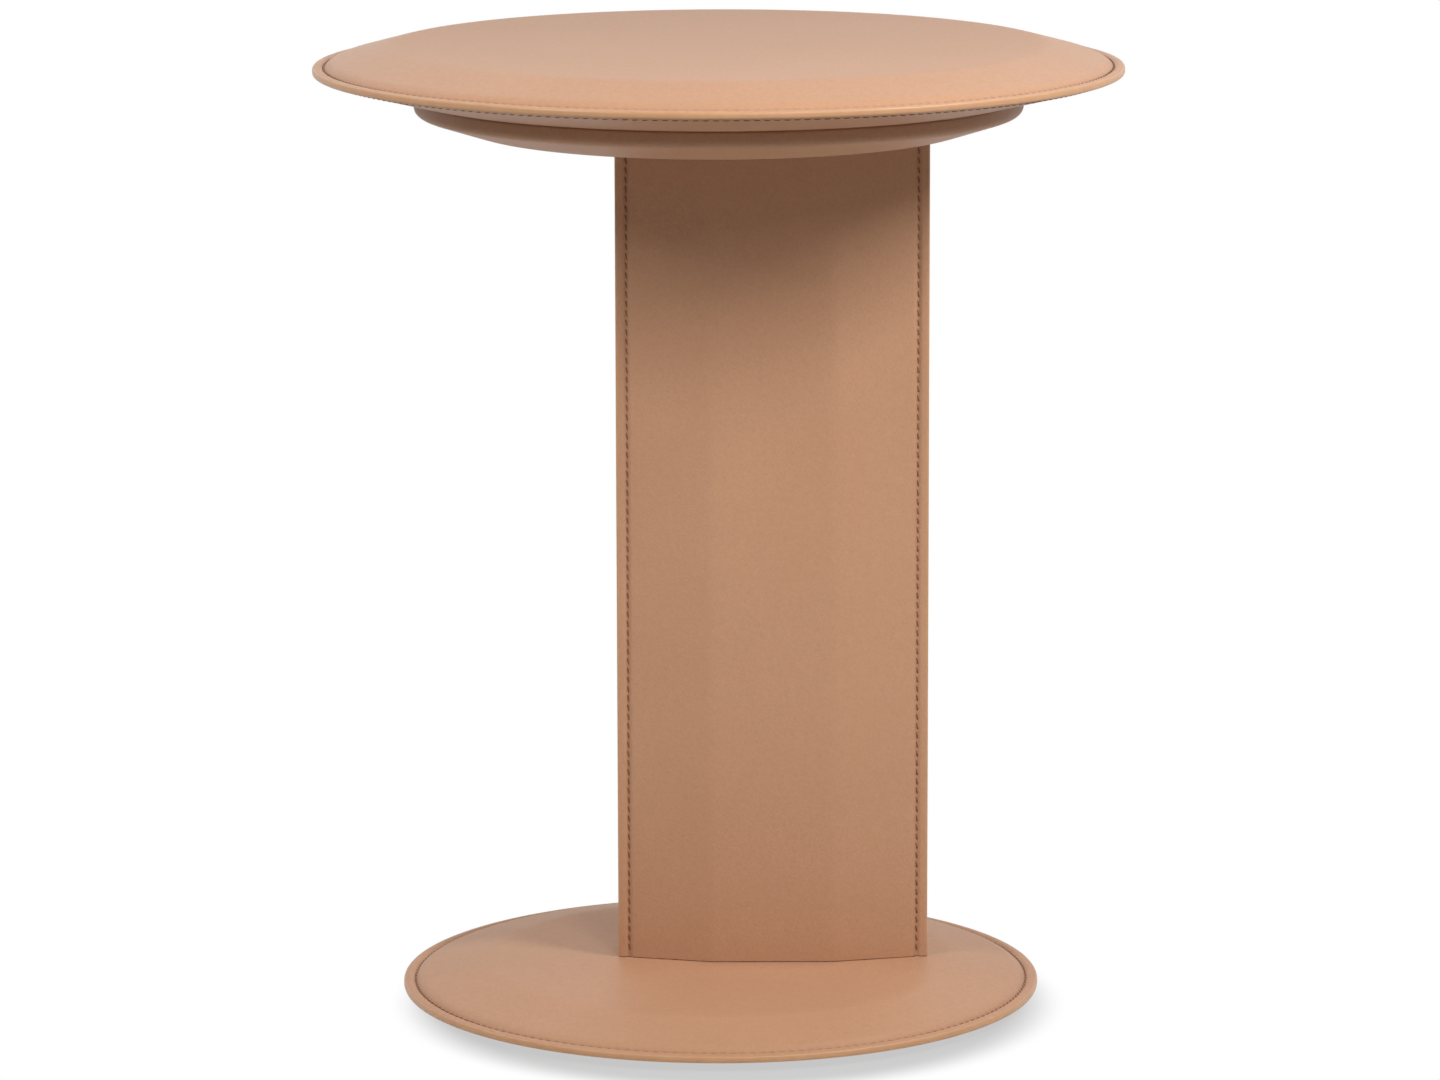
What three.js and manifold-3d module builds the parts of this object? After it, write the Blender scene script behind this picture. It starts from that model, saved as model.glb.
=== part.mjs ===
// A round side table covered in stitched saddle leather: a padded top on a
// shallow dish, a flat faceted column set off the middle, and a weighted base.
// Millimetres, +Z up. The origin is on the floor, on the axis of the two discs,
// and the front of the table faces -Y.

import * as THREE from "three";
import { mergeVertices } from "three/addons/utils/BufferGeometryUtils.js";
import Module from "manifold-3d";

const wasm = await Module();
wasm.setup();

// Whole table
const TABLE_HEIGHT = 600;
const TOP_RADIUS = 250;
const BASE_RADIUS = 200;

// Layers that all three leather bodies share
const FIT = 0.3; // gap between pieces that touch
const LEATHER = 1.4;
const FOAM = 2;
const RIM_BOARD = 0.6; // stiffening board sewn between the two leathers
const RIM_SETBACK = 0.5; // how far that board stays in from the raw edge
const BOARD_INSET = 9; // from the seam in to the edge of the wooden board

// Top disc, upper side
const TOP_FLANGE = 7; // raw edge to seam
const TOP_SHOULDER_RUN = 5;
const TOP_SHOULDER_RISE = 3.6;
const TOP_RING = 47; // raw edge to the flat
const TOP_CROWN = 15; // flat above the middle of the rim
const TOP_CREASE_ROUND = 60;

// Top disc, underside
const TOP_UNDER_RUN = 58;
const TOP_UNDER_DROP = 14.3;
const TOP_HEM = 17;

// Dish under the top
const DISH_STEP = 4; // its wall stands in from the underside's edge
const DISH_WALL = 10;
const DISH_CONE_RUN = 38;
const DISH_CONE_DROP = 12;
const DISH_EDGE_ROUND = 1.8;
const DISH_WALL_ROUND = 9;
const DISH_FOOT_ROUND = 30;
const DISH_HEM = 16;

// Base disc
const BASE_FLANGE = 7.5;
const BASE_SHOULDER_RUN = 5;
const BASE_SHOULDER_RISE = 3;
const BASE_RING = 54;
const BASE_CROWN = 13.5;
const BASE_CREASE_ROUND = 60;
const BASE_HEM = 40;
const SHOULDER_ROUND = 5; // on both discs

// Column
const COLUMN_WIDTH = 195;
const COLUMN_DEPTH = 31;
const COLUMN_OFFSET = 33; // the column's middle to the right of the discs' axis
const COLUMN_FACE = 77; // flat middle of each broad side
const COLUMN_FLANGE = 7;
const COLUMN_SHOULDER_RUN = 1.5;
const COLUMN_SHOULDER_RISE = 1.2;
const COLUMN_CREASE_ROUND = 24;
const FAIRING_SETBACK = 1; // from the shoulder in to the fairing's thin edge
const FAIRING_WALL = 3.3; // over the posts

// Steel frame
const POST_GAP = 17;
const POST_WALL = 2;
const POST_CLEARANCE = 0.5;
const PLUG_LENGTH = 25;
const HEAD_PLATE = 6;
const HEAD_PLATE_INSET = 40; // from the dish's flat in to the plate's edge

// Weight, bottom panel and glides
const BASE_WEB = 3.2; // board left over the ballast
const BALLAST_MARGIN = 10;
const PANEL = 2;
const PANEL_LAP = 12;
const GLIDE_HEIGHT = 3;
const GLIDE_RADIUS = 12;
const GLIDE_CHAMFER = 0.8;
const GLIDE_INSET = 22;
const GLIDE_COUNT = 5;

// Fasteners, all driven from below
const HEAD_SCREW_COUNT = 6;
const HEAD_SCREW_INSET = 14;
const HEAD_SCREW_COVER = 9; // board left over the tip
const HEAD_SCREW_HEAD = 4.8;
const HEAD_SCREW_SHANK = 2.5;
const FOOT_BOLT_HEAD = 9;
const FOOT_BOLT_SHANK = 5;
const FOOT_BOLT_BITE = 18;
const PANEL_SCREW_COUNT = 5;
const PANEL_SCREW_COVER = 2;
const PANEL_SCREW_HEAD = 2.8;
const PANEL_SCREW_SHANK = 1.5;

// How finely curves are faceted
const DISC_SEGMENTS = 48;
const FASTENER_SEGMENTS = 12;
const GLIDE_SEGMENTS = 16;
const ROUND_STEPS = 2;
const ROUND_REACH_SHARE = 0.45; // most of a side that a rounded corner may use

// Materials
const leather = new THREE.MeshStandardMaterial({ color: 0xc4956f, roughness: 0.55 });
const board = new THREE.MeshStandardMaterial({ color: 0xa98a63, roughness: 0.9 });
const foam = new THREE.MeshStandardMaterial({ color: 0xe6ddc8, roughness: 1 });
const bondedBoard = new THREE.MeshStandardMaterial({ color: 0x8a6a4c, roughness: 0.85 });
const steel = new THREE.MeshStandardMaterial({ color: 0x3a3b3d, roughness: 0.5, metalness: 1 });
const zincPlate = new THREE.MeshStandardMaterial({ color: 0xb9bcbf, roughness: 0.4, metalness: 1 });
const fibreboard = new THREE.MeshStandardMaterial({ color: 0x2a2622, roughness: 0.9 });
const glidePlastic = new THREE.MeshStandardMaterial({ color: 0x1f1f20, roughness: 0.6 });

// A line through corners of [x, y, round], where a round turns the corner into an arc.
function rounded(corners) {
  return corners.flatMap(([x, y, round = 0], i) => {
    const corner = new THREE.Vector2(x, y);
    if (!round) return [corner];
    const back = new THREE.Vector2(corners[i - 1][0], corners[i - 1][1]).sub(corner);
    const on = new THREE.Vector2(corners[i + 1][0], corners[i + 1][1]).sub(corner);
    const shorter = Math.min(back.length(), on.length());
    back.normalize();
    on.normalize();
    const halfAngle = Math.acos(back.dot(on)) / 2;
    const reach = Math.min(round / Math.tan(halfAngle), shorter * ROUND_REACH_SHARE);
    const radius = reach * Math.tan(halfAngle);
    const toCentre = back.clone().add(on).normalize();
    const centre = corner.clone().addScaledVector(toCentre, radius / Math.sin(halfAngle));
    const start = corner.clone().addScaledVector(back, reach).sub(centre);
    const end = corner.clone().addScaledVector(on, reach).sub(centre);
    const turn = Math.atan2(start.cross(end), start.dot(end));
    return Array.from({ length: ROUND_STEPS + 1 }, (_, k) =>
      start.clone().rotateAround(new THREE.Vector2(), (turn * k) / ROUND_STEPS).add(centre),
    );
  });
}

// The line moved sideways, to the left of its direction where the distance is positive.
function offset(line, distance) {
  const normals = line.slice(1).map((point, i) => {
    const along = point.clone().sub(line[i]).normalize();
    return new THREE.Vector2(-along.y, along.x);
  });
  return line.map((point, i) => {
    const before = normals[Math.max(i - 1, 0)];
    const after = normals[Math.min(i, normals.length - 1)];
    const mitre = before.clone().add(after);
    return point.clone().addScaledVector(mitre, (2 * distance) / mitre.lengthSq());
  });
}

// The height, at x, of a line whose x only grows. Its last side runs on past its end.
function heightAt(line, x) {
  const next = line.findIndex((point) => point.x >= x);
  const i = next < 0 ? line.length - 1 : Math.max(1, next);
  const share = (x - line[i - 1].x) / (line[i].x - line[i - 1].x);
  return THREE.MathUtils.lerp(line[i - 1].y, line[i].y, share);
}

// The stretch, from x0 to x1, of a line whose x only grows.
function between(line, x0, x1) {
  return [
    new THREE.Vector2(x0, heightAt(line, x0)),
    ...line.filter((point) => point.x > x0 && point.x < x1),
    new THREE.Vector2(x1, heightAt(line, x1)),
  ];
}

// The closed outline between two lines that run the same way.
function layer(line, otherLine) {
  return [...line, ...[...otherLine].reverse()];
}

// A closed outline of (radius, height) turned round the Z axis.
function turned(outline, segments = DISC_SEGMENTS) {
  const loop = [...outline, outline[0]];
  if (THREE.ShapeUtils.isClockWise(loop)) loop.reverse();
  return new THREE.LatheGeometry(loop, segments).rotateX(Math.PI / 2);
}

// A closed outline of (x, y) drawn up from z0 to z1, with holes where they are given.
function drawnUp(outline, z0, z1, holes = []) {
  const shape = new THREE.Shape(outline);
  shape.holes = holes;
  const settings = { depth: z1 - z0, bevelEnabled: false, curveSegments: FASTENER_SEGMENTS };
  return new THREE.ExtrudeGeometry(shape, settings).translate(0, 0, z0);
}

// A rectangle round (x, 0).
function rectangle(x, width, depth) {
  return [
    new THREE.Vector2(x - width / 2, -depth / 2),
    new THREE.Vector2(x + width / 2, -depth / 2),
    new THREE.Vector2(x + width / 2, depth / 2),
    new THREE.Vector2(x - width / 2, depth / 2),
  ];
}

function solidOf(geometry) {
  const bare = geometry.clone();
  bare.deleteAttribute("normal");
  bare.deleteAttribute("uv");
  const merged = mergeVertices(bare);
  const vertProperties = merged.attributes.position.array;
  const triVerts = new Uint32Array(merged.index.array);
  return new wasm.Manifold(new wasm.Mesh({ numProp: 3, vertProperties, triVerts }));
}

// A geometry with each of the tools cut out of it.
function cut(geometry, tools) {
  const left = tools.reduce((solid, tool) => solid.subtract(solidOf(tool)), solidOf(geometry));
  const { vertProperties, triVerts } = left.getMesh();
  const result = new THREE.BufferGeometry();
  result.setAttribute("position", new THREE.BufferAttribute(vertProperties, 3));
  result.setIndex(new THREE.BufferAttribute(triVerts, 1));
  const flat = result.toNonIndexed();
  flat.computeVertexNormals();
  return flat;
}

const table = new THREE.Group();

function add(name, geometry, material, parent = table) {
  const mesh = new THREE.Mesh(geometry, material.clone());
  mesh.name = name;
  parent.add(mesh);
  return mesh;
}

// Heights, from the floor up
const rimHalf = LEATHER + FIT + RIM_BOARD / 2;
const panelBottom = GLIDE_HEIGHT + FIT;
const ballastBottom = panelBottom + PANEL + FIT;
const baseRim = ballastBottom + rimHalf;
const baseFlat = baseRim + BASE_CROWN;
const padDepth = LEATHER + FOAM + 2 * FIT; // from the leather's face to the board
const ballastTop = baseFlat - padDepth - BASE_WEB - FIT;
const postBottom = ballastTop + FIT;
const columnBottom = baseFlat + FIT;

// Heights, from the top down
const topRim = TABLE_HEIGHT - TOP_CROWN;
const topUnder = topRim - rimHalf - TOP_UNDER_DROP;
const dishTop = topUnder - FIT;
const dishBottom = dishTop - DISH_WALL - DISH_CONE_DROP;
const columnTop = dishBottom - FIT;
const headPlateTop = topUnder + LEATHER;
const headPlateBottom = headPlateTop - HEAD_PLATE;
const postTop = headPlateBottom - FIT;

// Radii
const topUnderRadius = TOP_RADIUS - TOP_UNDER_RUN;
const dishRadius = topUnderRadius - DISH_STEP;
const dishFlatRadius = dishRadius - DISH_CONE_RUN;
const headPlateRadius = dishFlatRadius - HEAD_PLATE_INSET;
const baseHemRadius = BASE_RADIUS - BASE_HEM;
const ballastRadius = baseHemRadius - BALLAST_MARGIN;
const panelRadius = baseHemRadius + PANEL_LAP;

// Steel posts, side by side under the column's flat faces
const postWidth = (COLUMN_FACE - POST_GAP) / 2;
const postDepth = COLUMN_DEPTH - 2 * (LEATHER + FIT + FAIRING_WALL + POST_CLEARANCE);
const postPlaces = [-1, 1].map((side) => (side * (POST_GAP + postWidth)) / 2);

// Room for the two posts, in the discs that they pass through.
function postHoles(z0, z1) {
  return postPlaces.map((x) => {
    const width = postWidth + 2 * POST_CLEARANCE;
    const depth = postDepth + 2 * POST_CLEARANCE;
    return drawnUp(rectangle(COLUMN_OFFSET + x, width, depth), z0, z1);
  });
}

// A countersunk screw that stands on its head at z0, or its hole where room is given.
function screw(head, shank, z0, z1, room = 0) {
  const headTop = z0 + head - shank;
  const outline = [
    [0, z0 - room],
    [head + room, z0 - room],
    [head + room, z0],
    [shank + room, headTop],
    [shank + room, z1 - shank],
    [0, z1 + room],
  ];
  const points = outline.map(([x, z]) => new THREE.Vector2(x, z));
  if (!room) points.splice(1, 1);
  return turned(points, FASTENER_SEGMENTS);
}

// Places evenly round a circle, the first at a share of one step from the +X side.
function around(count, radius, firstShare) {
  return Array.from({ length: count }, (_, i) => {
    const angle = ((i + firstShare) / count) * 2 * Math.PI;
    return new THREE.Vector2(Math.cos(angle), Math.sin(angle)).multiplyScalar(radius);
  });
}

// Both padded discs: leather, foam and board below one line from the middle to the rim.
function crownLine(radius, flange, shoulderRun, shoulderRise, ring, creaseRound, rim, flat) {
  const seam = radius - flange;
  return rounded([
    [0, flat],
    [radius - ring, flat, creaseRound],
    [seam - shoulderRun, rim + rimHalf + shoulderRise, SHOULDER_ROUND],
    [seam, rim + rimHalf],
    [radius, rim + rimHalf],
  ]);
}

// The pieces that lie between the upper leather's line and the underside's line.
function paddedDisc(prefix, radius, flange, crown, under, cuts) {
  const boardRadius = radius - flange - BOARD_INSET;
  const cover = layer(crown, offset(crown, -LEATHER));
  add(prefix + "_cover_leather", cut(turned(cover), cuts.cover), leather);

  const foamFace = between(offset(crown, -LEATHER - FIT), 0, boardRadius);
  const foamBack = between(offset(crown, -LEATHER - FIT - FOAM), 0, boardRadius);
  add(prefix + "_foam_pad", cut(turned(layer(foamFace, foamBack)), cuts.cover), foam);

  const boardTop = between(offset(crown, -padDepth), 0, boardRadius);
  const boardUnder = between(offset(under, LEATHER + FIT), 0, boardRadius);
  add(prefix + "_board", cut(turned(layer(boardTop, boardUnder)), cuts.board), board);

  const inner = boardRadius + FIT;
  const outer = radius - RIM_SETBACK;
  const formerTop = between(offset(crown, -LEATHER - FIT), inner, outer);
  const formerUnder = between(offset(under, LEATHER + FIT), inner, outer);
  add(prefix + "_rim_former", turned(layer(formerTop, formerUnder)), bondedBoard);
}

// Top
const topCrown = crownLine(
  TOP_RADIUS,
  TOP_FLANGE,
  TOP_SHOULDER_RUN,
  TOP_SHOULDER_RISE,
  TOP_RING,
  TOP_CREASE_ROUND,
  topRim,
  TABLE_HEIGHT,
);
const topUnderLine = rounded([
  [0, topUnder],
  [topUnderRadius, topUnder],
  [TOP_RADIUS, topRim - rimHalf],
]);
const headScrewPlaces = around(HEAD_SCREW_COUNT, headPlateRadius - HEAD_SCREW_INSET, 1 / 2);
const headScrewTop = TABLE_HEIGHT - padDepth - HEAD_SCREW_COVER;

function headScrew(room) {
  return screw(HEAD_SCREW_HEAD, HEAD_SCREW_SHANK, headPlateBottom, headScrewTop, room);
}

const headScrewHoles = headScrewPlaces.map(({ x, y }) => headScrew(FIT).translate(x, y, 0));
const topCuts = { cover: [], board: headScrewHoles };
paddedDisc("top", TOP_RADIUS, TOP_FLANGE, topCrown, topUnderLine, topCuts);

const topUnderFace = between(topUnderLine, topUnderRadius - TOP_HEM, TOP_RADIUS);
const topUnderBack = between(offset(topUnderLine, LEATHER), topUnderRadius - TOP_HEM, TOP_RADIUS);
add("top_underside_leather", turned(layer(topUnderFace, topUnderBack)), leather);

// Dish
function dishLine(innerEnd) {
  return rounded([
    [0, dishBottom],
    [dishFlatRadius, dishBottom, DISH_FOOT_ROUND],
    [dishRadius, dishTop - DISH_WALL, DISH_WALL_ROUND],
    [dishRadius, dishTop, DISH_EDGE_ROUND],
    [innerEnd, dishTop],
  ]);
}

const dishLeatherLine = dishLine(dishRadius - DISH_HEM);
const dishLeather = turned(layer(dishLeatherLine, offset(dishLeatherLine, LEATHER)));
add("dish_cover_leather", cut(dishLeather, postHoles(dishBottom - FIT, dishTop)), leather);

const headPlatePocket = turned([
  new THREE.Vector2(0, headPlateBottom - FIT),
  new THREE.Vector2(headPlateRadius + FIT, headPlateBottom - FIT),
  new THREE.Vector2(headPlateRadius + FIT, headPlateTop),
  new THREE.Vector2(0, headPlateTop),
]);
const dishBoard = turned(offset(dishLine(0), LEATHER + FIT));
add("dish_board", cut(dishBoard, [headPlatePocket, ...postHoles(dishBottom, dishTop)]), board);

// Steel head plate and its screws
const headPlate = turned([
  new THREE.Vector2(0, headPlateBottom),
  new THREE.Vector2(headPlateRadius, headPlateBottom),
  new THREE.Vector2(headPlateRadius, headPlateTop),
  new THREE.Vector2(0, headPlateTop),
]);
add("head_plate", cut(headPlate, headScrewHoles), steel);
headScrewPlaces.forEach(({ x, y }, i) => {
  add("head_screw_" + (i + 1), headScrew(0), zincPlate).position.set(x, y, 0);
});

// Column, in a group of its own that stands off the discs' axis
const column = new THREE.Group();
column.position.x = COLUMN_OFFSET;
table.add(column);

const columnHalf = COLUMN_WIDTH / 2;
const columnSeam = columnHalf - COLUMN_FLANGE;
const columnShoulder = columnSeam - COLUMN_SHOULDER_RUN;
const halfSide = [
  [columnHalf, rimHalf],
  [columnSeam, rimHalf],
  [columnShoulder, rimHalf + COLUMN_SHOULDER_RISE],
  [COLUMN_FACE / 2, COLUMN_DEPTH / 2, COLUMN_CREASE_ROUND],
];
const mirroredHalf = halfSide.map(([x, y, round]) => [-x, y, round]);
const columnLine = rounded([...mirroredHalf, ...[...halfSide].reverse()]);
const fairingEdge = columnShoulder - FAIRING_SETBACK;
const fairingFace = between(offset(columnLine, -LEATHER - FIT), -fairingEdge, fairingEdge);
const fairingMiddle = [-fairingEdge, fairingEdge].map((x) => new THREE.Vector2(x, FIT / 2));
const columnSkin = layer(columnLine, offset(columnLine, -LEATHER));
const channels = postPlaces.map((x) => {
  const width = postWidth + 2 * POST_CLEARANCE;
  const depth = postDepth + 2 * POST_CLEARANCE;
  return drawnUp(rectangle(x, width, depth), columnBottom - FIT, columnTop + FIT);
});

for (const [side, turn] of [["back", 0], ["front", Math.PI]]) {
  const skin = drawnUp(columnSkin, columnBottom, columnTop);
  add("column_cover_" + side, skin, leather, column).rotation.z = turn;
  const fairing = drawnUp(layer(fairingFace, fairingMiddle), columnBottom, columnTop);
  add("column_fairing_" + side, cut(fairing, channels), board, column).rotation.z = turn;
}

const stripInner = fairingEdge + FIT;
const stripWidth = columnHalf - RIM_SETBACK - stripInner;
const boltPlaces = postPlaces.map((x) => COLUMN_OFFSET + x);

function footBolt(room) {
  const top = postBottom + FOOT_BOLT_BITE;
  return screw(FOOT_BOLT_HEAD, FOOT_BOLT_SHANK, ballastBottom, top, room);
}

["left", "right"].forEach((side, i) => {
  const sign = i ? 1 : -1;
  const strip = rectangle(sign * (stripInner + stripWidth / 2), stripWidth, RIM_BOARD);
  add("column_edge_strip_" + side, drawnUp(strip, columnBottom, columnTop), bondedBoard, column);

  const bore = new THREE.Path(rectangle(postPlaces[i], postWidth - 2 * POST_WALL,
    postDepth - 2 * POST_WALL));
  const outside = rectangle(postPlaces[i], postWidth, postDepth);
  add("column_post_" + side, drawnUp(outside, postBottom, postTop, [bore]), steel, column);

  const plugWall = POST_WALL + FIT;
  const plugOutline = rectangle(postPlaces[i], postWidth - 2 * plugWall, postDepth - 2 * plugWall);
  const thread = new THREE.Path().absarc(postPlaces[i], 0, FOOT_BOLT_SHANK + FIT, 0, 2 * Math.PI);
  const plug = drawnUp(plugOutline, postBottom, postBottom + PLUG_LENGTH, [thread]);
  add("post_plug_" + side, plug, steel, column);
  add("foot_bolt_" + side, footBolt(0), zincPlate).position.x = boltPlaces[i];
});

// Base
const baseCrown = crownLine(
  BASE_RADIUS,
  BASE_FLANGE,
  BASE_SHOULDER_RUN,
  BASE_SHOULDER_RISE,
  BASE_RING,
  BASE_CREASE_ROUND,
  baseRim,
  baseFlat,
);
const baseUnderLine = rounded([
  [0, baseRim - rimHalf],
  [BASE_RADIUS, baseRim - rimHalf],
]);
const panelScrewCircle = baseHemRadius + PANEL_LAP / 2;
const panelScrewPlaces = around(PANEL_SCREW_COUNT, panelScrewCircle, 1 / 2);
const panelScrewTop =
  heightAt(offset(baseCrown, -padDepth), panelScrewCircle) - PANEL_SCREW_COVER;

function panelScrew(room) {
  return screw(PANEL_SCREW_HEAD, PANEL_SCREW_SHANK, panelBottom, panelScrewTop, room);
}

const panelScrewHoles = panelScrewPlaces.map(({ x, y }) => panelScrew(FIT).translate(x, y, 0));
const ballastPocket = turned([
  new THREE.Vector2(0, ballastBottom - FIT),
  new THREE.Vector2(ballastRadius + FIT, ballastBottom - FIT),
  new THREE.Vector2(ballastRadius + FIT, ballastTop + FIT),
  new THREE.Vector2(0, ballastTop + FIT),
]);
const baseHoles = postHoles(ballastTop, baseFlat + FIT);
const baseCuts = { cover: baseHoles, board: [ballastPocket, ...baseHoles, ...panelScrewHoles] };
paddedDisc("base", BASE_RADIUS, BASE_FLANGE, baseCrown, baseUnderLine, baseCuts);

const baseUnderFace = between(baseUnderLine, baseHemRadius, BASE_RADIUS);
const baseUnderBack = between(offset(baseUnderLine, LEATHER), baseHemRadius, BASE_RADIUS);
const baseUnderside = turned(layer(baseUnderFace, baseUnderBack));
add("base_underside_leather", cut(baseUnderside, panelScrewHoles), leather);

const ballast = turned([
  new THREE.Vector2(0, ballastBottom),
  new THREE.Vector2(ballastRadius, ballastBottom),
  new THREE.Vector2(ballastRadius, ballastTop),
  new THREE.Vector2(0, ballastTop),
]);
const footBoltHoles = boltPlaces.map((x) => footBolt(FIT).translate(x, 0, 0));
add("ballast_plate", cut(ballast, footBoltHoles), steel);

const panel = turned([
  new THREE.Vector2(0, panelBottom),
  new THREE.Vector2(panelRadius, panelBottom),
  new THREE.Vector2(panelRadius, panelBottom + PANEL),
  new THREE.Vector2(0, panelBottom + PANEL),
]);
add("bottom_panel", cut(panel, panelScrewHoles), fibreboard);
panelScrewPlaces.forEach(({ x, y }, i) => {
  add("panel_screw_" + (i + 1), panelScrew(0), zincPlate).position.set(x, y, 0);
});

const glideOutline = [
  new THREE.Vector2(0, 0),
  new THREE.Vector2(GLIDE_RADIUS - GLIDE_CHAMFER, 0),
  new THREE.Vector2(GLIDE_RADIUS, GLIDE_CHAMFER),
  new THREE.Vector2(GLIDE_RADIUS, GLIDE_HEIGHT),
  new THREE.Vector2(0, GLIDE_HEIGHT),
];
around(GLIDE_COUNT, panelRadius - GLIDE_INSET, 0).forEach(({ x, y }, i) => {
  const glide = turned(glideOutline, GLIDE_SEGMENTS);
  add("glide_" + (i + 1), glide, glidePlastic).position.set(x, y, 0);
});

export default table;
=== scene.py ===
import math

import bpy
import numpy as np
from mathutils import Matrix, Vector


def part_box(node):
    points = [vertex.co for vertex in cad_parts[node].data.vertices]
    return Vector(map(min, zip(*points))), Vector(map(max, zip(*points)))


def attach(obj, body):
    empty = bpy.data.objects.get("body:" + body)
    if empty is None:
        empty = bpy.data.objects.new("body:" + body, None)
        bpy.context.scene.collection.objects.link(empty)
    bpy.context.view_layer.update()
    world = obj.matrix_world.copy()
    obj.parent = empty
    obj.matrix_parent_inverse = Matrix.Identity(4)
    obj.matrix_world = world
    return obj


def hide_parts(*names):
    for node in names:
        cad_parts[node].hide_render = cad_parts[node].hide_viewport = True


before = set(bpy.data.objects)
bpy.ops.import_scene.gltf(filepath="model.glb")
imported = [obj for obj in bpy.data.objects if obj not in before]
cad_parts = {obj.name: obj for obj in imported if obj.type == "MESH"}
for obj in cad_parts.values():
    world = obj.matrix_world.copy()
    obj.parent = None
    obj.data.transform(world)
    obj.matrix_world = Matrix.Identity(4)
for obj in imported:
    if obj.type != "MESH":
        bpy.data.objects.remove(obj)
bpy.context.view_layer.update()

mm = 0.001


# Steel weight and frame. A round ballast plate lies in the base, and two box-section posts
# stand on it and carry a round head plate. Laser-cut and welded mild steel, powder coated
# black before the leather goes on.
def linear(colour):
    """An sRGB hex colour as linear RGBA. A channel c becomes ((c + 0.055) / 1.055) ** 2.4."""
    channels = [int(colour[i : i + 2], 16) / 255 for i in (1, 3, 5)]
    return [c / 12.92 if c < 0.04045 else ((c + 0.055) / 1.055) ** 2.4 for c in channels] + [1]


def set_inputs(tree, target, inputs):
    """Sets a node's inputs. Each is a value, or another node's output to link."""
    for name, value in inputs.items():
        if isinstance(value, bpy.types.NodeSocket):
            tree.links.new(value, target.inputs[name])
        else:
            target.inputs[name].default_value = value


def node(tree, kind, inputs, **settings):
    """Adds a node with its settings, and sets its inputs."""
    made = tree.nodes.new("ShaderNode" + kind)
    for name, value in settings.items():
        setattr(made, name, value)
    set_inputs(tree, made, inputs)
    return made


def bare_material(name):
    """A new material with its node tree, its shader and the output of its Object coordinates."""
    material = bpy.data.materials.new(name)
    material.use_nodes = True
    tree = material.node_tree
    place = node(tree, "TexCoord", {}).outputs["Object"]
    return material, tree, tree.nodes["Principled BSDF"], place


def dress(material, *names):
    """Puts a material on CAD nodes that keep their own shape."""
    for name in names:
        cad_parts[name].material_slots[0].material = material


# Powder coat: a fused polyester film. It is nearly black, half matt, and stands in the
# shallow lumps, about 1.5 mm across, that painters call orange peel.
powder_coat, tree, shader, place = bare_material("black_powder_coat")
lumps = node(tree, "TexNoise", {"Vector": place, "Scale": 1 / (1.5 * mm), "Detail": 1})
dust = node(tree, "TexNoise", {"Vector": place, "Scale": 1 / (18 * mm), "Detail": 4})
tone = node(tree, "Mix", {
    0: dust.outputs["Fac"], 6: linear("#191a1c"), 7: linear("#242527"),
}, data_type="RGBA")
film = node(tree, "Bump", {"Height": lumps.outputs["Fac"], "Distance": 0.03 * mm})
set_inputs(tree, shader, {
    "Base Color": tone.outputs[2], "Roughness": 0.46, "Normal": film.outputs["Normal"],
})
dress(
    powder_coat, "ballast_plate", "column_post_left", "column_post_right",
    "post_plug_left", "post_plug_right", "head_plate",
)


# Bolts and screws. Zinc-plated steel, blue passivated: two foot bolts up into the posts'
# plugs and six screws up through the head plate. The plating clouds in patches and keeps
# fine drawing lines.
zinc_plate, tree, shader, place = bare_material("zinc_plated_steel")
clouds = node(tree, "TexNoise", {"Vector": place, "Scale": 1 / (4 * mm), "Detail": 3})
tone = node(tree, "Mix", {
    0: clouds.outputs["Fac"], 6: linear("#a9afb4"), 7: linear("#c9cccd"),
}, data_type="RGBA")
gloss = node(tree, "MapRange", {"Value": clouds.outputs["Fac"], "To Min": 0.26, "To Max": 0.42})
lines = node(tree, "TexNoise", {
    "Vector": node(tree, "Mapping", {"Vector": place, "Scale": (1, 1, 0.04)}).outputs["Vector"],
    "Scale": 1 / (0.3 * mm),
})
drawn_lines = node(tree, "Bump", {"Height": lines.outputs["Fac"], "Distance": 0.01 * mm})
set_inputs(tree, shader, {
    "Base Color": tone.outputs[2], "Metallic": 1, "Roughness": gloss.outputs["Result"],
    "Normal": drawn_lines.outputs["Normal"],
})
dress(zinc_plate, "foot_bolt_left", "foot_bolt_right")
HEAD_SCREWS = 6
dress(zinc_plate, *[f"head_screw_{i}" for i in range(1, HEAD_SCREWS + 1)])


# Boards. The discs' and the dish's cores and the two column fairings are milled from
# medium-density fibreboard: pale brown, matt, a felt of fine fibres that the cutter leaves
# faintly hairy.
fibreboard, tree, shader, place = bare_material("milled_fibreboard")
felt = node(tree, "TexNoise", {
    "Vector": place, "Scale": 1 / (0.8 * mm), "Detail": 3, "Distortion": 0.6,
})
shade_of_batch = node(tree, "TexNoise", {"Vector": place, "Scale": 1 / (45 * mm), "Detail": 2})
fibres = node(tree, "Mix", {
    0: felt.outputs["Fac"], 6: linear("#a17f57"), 7: linear("#bb9a70"),
}, data_type="RGBA")
tone = node(tree, "Mix", {
    0: shade_of_batch.outputs["Fac"], 6: fibres.outputs[2], 7: linear("#b08c62"),
}, data_type="RGBA")
nap = node(tree, "Bump", {"Height": felt.outputs["Fac"], "Distance": 0.08 * mm})
set_inputs(tree, shader, {
    "Base Color": tone.outputs[2], "Roughness": 0.92, "Normal": nap.outputs["Normal"],
})
dress(
    fibreboard, "base_board", "dish_board", "top_board",
    "column_fairing_front", "column_fairing_back",
)


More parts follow.
